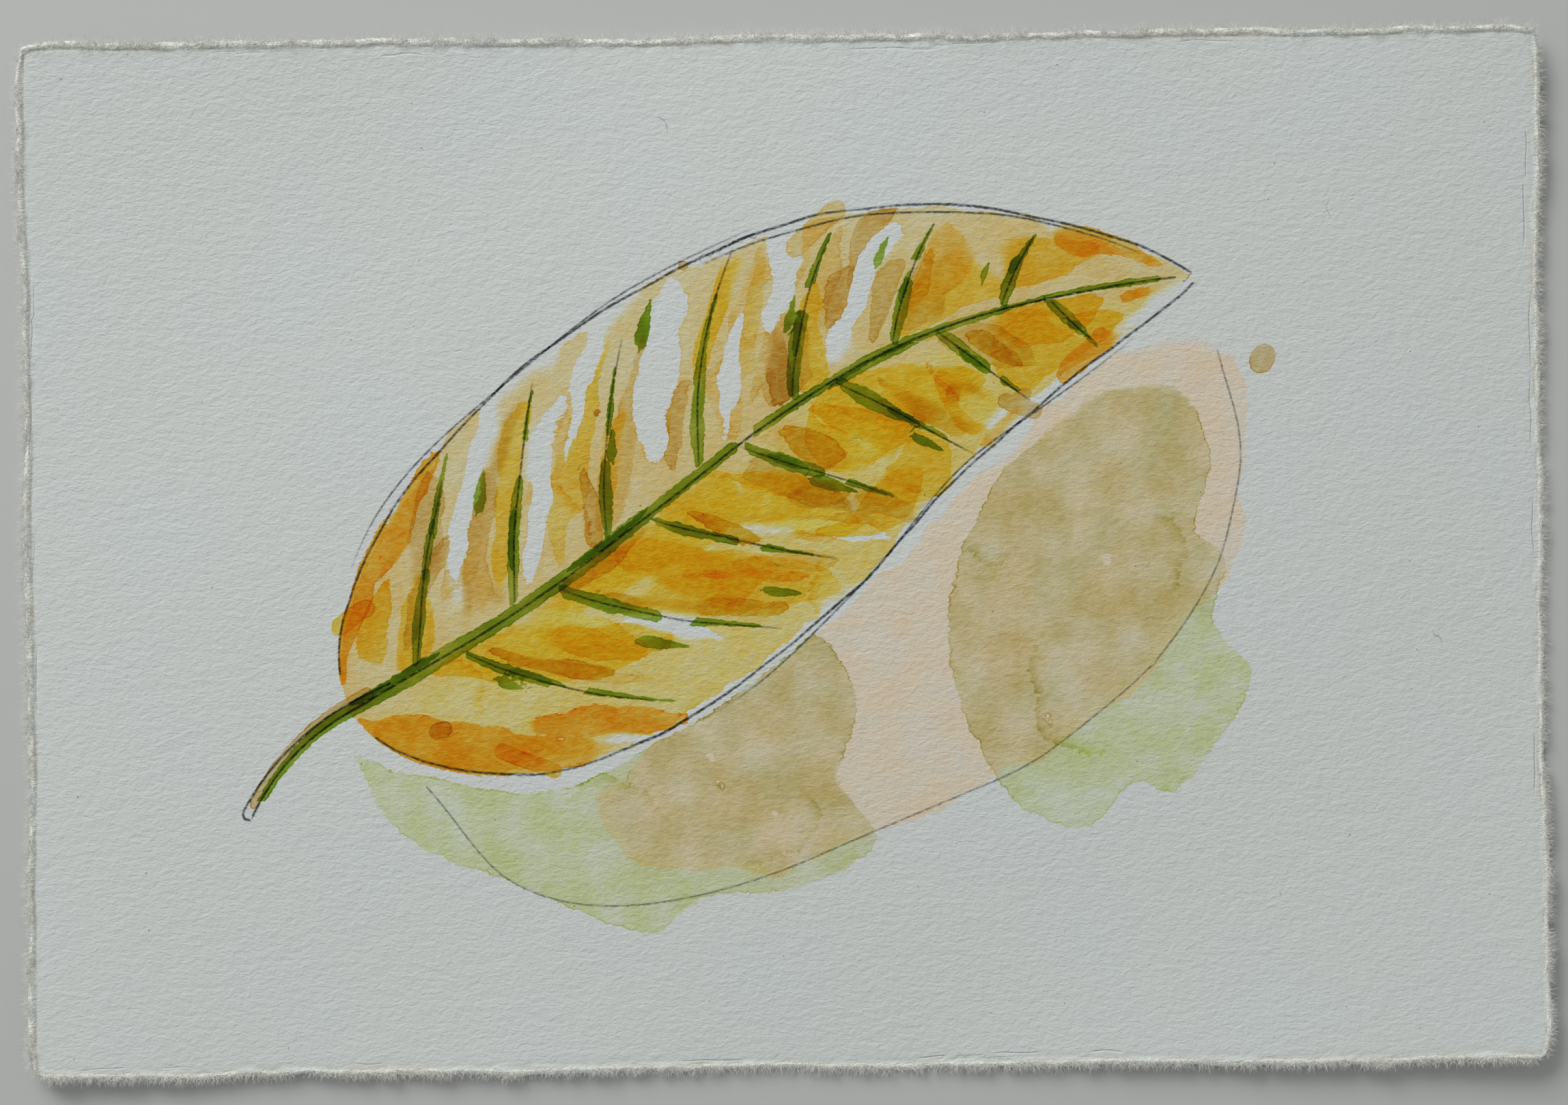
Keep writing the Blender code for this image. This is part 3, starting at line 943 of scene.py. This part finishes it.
# What the films let through.
negative = add(tree, "VectorMath", total, (-1, -1, -1), operation="MULTIPLY")[0]
parts = add(tree, "SeparateXYZ", negative)
passed = add(tree, "CombineXYZ", *(add(tree, "Math", part, operation="EXPONENT")[0] for part in parts))[0]
cloud = mottled(place, (32.0, 32.0), 3.0)
stock = add(tree, "VectorMath", cloud, tuple(PAPER_WARM - PAPER), tuple(PAPER),
            operation="MULTIPLY_ADD")[0]
colour = add(tree, "VectorMath", stock, passed, operation="MULTIPLY")[0]
tree.links.new(colour, finish.inputs["Base Color"])
bump = add(tree, "Bump", {"Strength": 1.0, "Distance": GRAIN_DEPTH * MM, "Height": relief})["Normal"]
tree.links.new(bump, finish.inputs["Normal"])
mesh.materials.append(paper)

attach(sheet, "root")
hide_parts("painted_sheet")

# ============================================================
# The torn edges' loose fibres: cotton linters that the tear pulled out of the paper, one piece for
# each of the four edges. They stand out from the lip by about a millimetre, and hold by their ends.
# ============================================================

FIBRE_PER_MM2 = 25.0
FIBRE_LENGTH = 1.4
FIBRE_THICKNESS = 0.062  # a real one is 0.02 mm thick, which is too fine to show
FIBRE_SEED = 12
FIBRE_JOINTS = 3
BEND = 0.45  # how far the tip bends over, as a share of the length
TAPER = (0.5, 0.18)  # radius at the foot and at the tip, as a share of the thickness
SCATTER = {0: (-1.1, -1.1, -0.4), 1: (1.1, 1.1, 0.6), "Seed": 3}  # of their directions
SIZES = {0: (0.7, 0.8, 0.35), 1: (1.3, 1.2, 1.25), "Seed": 5}  # across and along each of them
TUFT = 2.5
TUFT_DENSITY = (0.15, 1.85)  # between tufts and within one, as a share of the average
FIBRE_REST = 0.1  # height below which they are pressed flat
PRESSED = 0.1  # share of the height that is left below that
BAND = 1.0  # how far in from the torn line they grow
RISE = 0.25  # how much they stand up as they run outwards
nearest_edge = np.argmin([distance for distance, _, _ in sides.values()], axis=0)


def torn_band(edge):
    """One edge's outermost strip of the upper face, with the outward direction on each of its points."""
    corners = quads(grid)
    corners = corners[(rim_distance.ravel()[corners] < BAND).all(1)]
    corners = corners[nearest_edge.ravel()[corners[:, 0]] == edge]
    kept, faces = np.unique(corners, return_inverse=True)
    band = bpy.data.meshes.new("torn band")
    band.from_pydata((upper_points[kept] * MM).tolist(), [], faces.reshape(-1, 4).tolist())
    left, right, bottom, top = (np.exp(-distance.ravel()[kept] / BAND) for distance, _, _ in sides.values())
    outward = np.column_stack([right - left, top - bottom, np.full(len(kept), RISE)])
    write(band, "outward", "FLOAT_VECTOR", "vector", outward)
    return band


def fibre_tree(finish):
    """Grows bent, tapering hairs on a band of faces, along its attribute "outward"."""
    tree = bpy.data.node_groups.new("loose fibres", "GeometryNodeTree")
    for name, way, kind in (
        ("Band", "INPUT", "Geometry"), ("Per square metre", "INPUT", "Float"), ("Length", "INPUT", "Float"),
        ("Thickness", "INPUT", "Float"), ("Seed", "INPUT", "Int"), ("Fibres", "OUTPUT", "Geometry"),
    ):
        tree.interface.new_socket(name, in_out=way, socket_type="NodeSocket" + kind)
    given = add(tree, "NodeGroupInput")

    # The fibres sit in tufts.
    where = add(tree, "GeometryNodeInputPosition")[0]
    tufts = add(tree, "TexNoise", {"Vector": where, "Scale": 1 / (TUFT * MM), "Detail": 1.0})[0]
    tufts = add(tree, "MapRange", tufts, 0.35, 0.65, *TUFT_DENSITY)[0]
    density = add(tree, "Math", tufts, given["Per square metre"], operation="MULTIPLY")[0]
    grown = add(tree, "GeometryNodeDistributePointsOnFaces",
                {"Mesh": given["Band"], "Density": density, "Seed": given["Seed"]})["Points"]

    # One hair, a unit long, bends over as it runs outwards and thins to its tip.
    hair = add(tree, "GeometryNodeCurvePrimitiveLine", {"End": (0, 0, 1)})[0]
    hair = add(tree, "GeometryNodeResampleCurve", {"Curve": hair, "Count": FIBRE_JOINTS})[0]
    share = add(tree, "GeometryNodeSplineParameter")["Factor"]
    over = add(tree, "Math", share, 2.0, operation="POWER")[0]
    over = add(tree, "VectorMath", over, (BEND, 0, 0), operation="MULTIPLY")[0]
    hair = add(tree, "GeometryNodeSetPosition", {"Geometry": hair, "Offset": over})[0]
    taper = add(tree, "MapRange", share, 0.0, 1.0, *TAPER)[0]
    half = add(tree, "Math", given["Thickness"], given["Length"], operation="DIVIDE")[0]
    half = add(tree, "Math", half, taper, operation="MULTIPLY")[0]
    ring = add(tree, "GeometryNodeCurvePrimitiveCircle", {"Resolution": 3, "Radius": 1.0})[0]
    hair = add(tree, "GeometryNodeCurveToMesh",
               {"Curve": hair, "Profile Curve": ring, "Scale": half, "Fill Caps": True})[0]

    named = {"Name": "outward"}
    outward = add(tree, "GeometryNodeInputNamedAttribute", named, data_type="FLOAT_VECTOR")[0]
    scatter = add(tree, "FunctionNodeRandomValue", SCATTER, data_type="FLOAT_VECTOR")[0]
    facing = add(tree, "VectorMath", outward, scatter, operation="ADD")[0]
    turned = add(tree, "FunctionNodeAlignRotationToVector", {"Vector": facing}, axis="Z")[0]
    spin = add(tree, "FunctionNodeRandomValue", {2: 0.0, 3: 2 * math.pi, "Seed": 8}, data_type="FLOAT")[1]
    spin = add(tree, "CombineXYZ", {2: spin})[0]
    turned = add(tree, "FunctionNodeRotateRotation", {"Rotation": turned, "Rotate By": spin},
                 rotation_space="LOCAL")[0]
    size = add(tree, "FunctionNodeRandomValue", SIZES, data_type="FLOAT_VECTOR")[0]
    size = add(tree, "VectorMath", size, given["Length"], operation="MULTIPLY")[0]
    grown = add(tree, "GeometryNodeInstanceOnPoints",
                {"Points": grown, "Instance": hair, "Rotation": turned, "Scale": size})[0]
    grown = add(tree, "GeometryNodeRealizeInstances", {"Geometry": grown})[0]

    # Those that would run into the table lie pressed flat on it instead.
    height = add(tree, "SeparateXYZ", where)[2]
    rest = (1 - PRESSED) * FIBRE_REST * MM
    pressed = add(tree, "Math", height, PRESSED, rest, operation="MULTIPLY_ADD")[0]
    pressed = add(tree, "Math", height, pressed, operation="MAXIMUM")[0]
    pressed = add(tree, "Math", pressed, height, operation="SUBTRACT")[0]
    pressed = add(tree, "CombineXYZ", {2: pressed})[0]
    grown = add(tree, "GeometryNodeSetPosition", {"Geometry": grown, "Offset": pressed})[0]
    grown = add(tree, "GeometryNodeSetMaterial", {"Geometry": grown, "Material": finish})[0]
    add(tree, "NodeGroupOutput", {"Fibres": grown})
    return tree


# Cotton linters: matt off-white cellulose that lets a little light through and has a soft sheen.
linters, tree, finish = material(
    "loose cotton fibre", {"Roughness": 0.8, "Sheen Weight": 0.25, "Specular IOR Level": 0.3}
)
place = add(tree, "TexCoord")["Object"]
tone = add(tree, "TexNoise", {"Vector": place, "Scale": 1 / (0.8 * MM), "Detail": 2.0})[0]
dull, bright = linear("efeee8"), linear("fdfcf9")
tone = add(tree, "MapRange", tone, 0.35, 0.65, 0.0, 1.0)[0]
tone = add(tree, "VectorMath", tone, tuple(bright - dull), tuple(dull), operation="MULTIPLY_ADD")[0]
tree.links.new(tone, finish.inputs["Base Color"])

tree = fibre_tree(linters)
for edge, name in enumerate(sides):
    grower = placed("torn band", torn_band(edge))
    growth = grower.modifiers.new("growth", "NODES")
    growth.node_group = tree
    for given, value in (
        ("Per square metre", FIBRE_PER_MM2 / MM**2),
        ("Length", FIBRE_LENGTH * MM),
        ("Thickness", FIBRE_THICKNESS * MM),
        ("Seed", FIBRE_SEED + edge),
    ):
        growth[tree.interface.items_tree[given].identifier] = value
    grown = grower.evaluated_get(bpy.context.evaluated_depsgraph_get())
    fibre_mesh = bpy.data.meshes.new_from_object(grown)
    bpy.data.objects.remove(grower)
    fibres = placed(f"{name}_edge_fibres", fibre_mesh)
    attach(fibres, "root")

# ============================================================
# The table, lights and camera: a plain pale top, soft daylight from beyond the sheet's top edge, and
# a camera that looks straight down.
# ============================================================

TABLE_HALF = 6.0
TABLE_TOP = -0.0002
WINDOW_PLACE = (-0.68, 1.12, 0.70)
WINDOW_SIZE = (1.0, 0.68)
WINDOW_POWER = 2.78
WINDOW_SPREAD = 62.0  # degrees: a grid on the light keeps it off the table below it
ROOM_LIGHT = 0.32
VIEW_WIDTH = 0.288
VIEW_TURN = -0.76  # degrees
SENSOR = 36.0
LENS = 60.0

table_mesh = bpy.data.meshes.new("table")
corners = [(a * TABLE_HALF, b * TABLE_HALF, TABLE_TOP) for a, b in ((-1, -1), (1, -1), (1, 1), (-1, 1))]
table_mesh.from_pydata(corners, [], [(0, 1, 2, 3)])
paint, _, _ = material("matt paint", {"Base Color": (*linear("c9ccc9"), 1), "Roughness": 0.8})
table_mesh.materials.append(paint)
table = placed("table", table_mesh)

window = bpy.data.lights.new("window", "AREA")
window.shape = "RECTANGLE"
window.size, window.size_y = WINDOW_SIZE
window.energy = WINDOW_POWER
window.spread = math.radians(WINDOW_SPREAD)
lamp = placed("window", window)
lamp.location = WINDOW_PLACE
lamp.rotation_euler = (-lamp.location).to_track_quat("-Z", "Y").to_euler()
world = bpy.data.worlds.new("room")
world.use_nodes = True
room = world.node_tree.nodes["Background"].inputs
room["Color"].default_value = (1, 1, 1, 1)
room["Strength"].default_value = ROOM_LIGHT
bpy.context.scene.world = world

lens = bpy.data.cameras.new("camera")
lens.lens = LENS
lens.sensor_width = SENSOR
camera = placed("camera", lens)
camera.location = (0, 0, VIEW_WIDTH * LENS / SENSOR)
camera.rotation_euler = (0, 0, math.radians(VIEW_TURN))
bpy.context.scene.camera = camera
bpy.context.scene.view_settings.view_transform = "Standard"
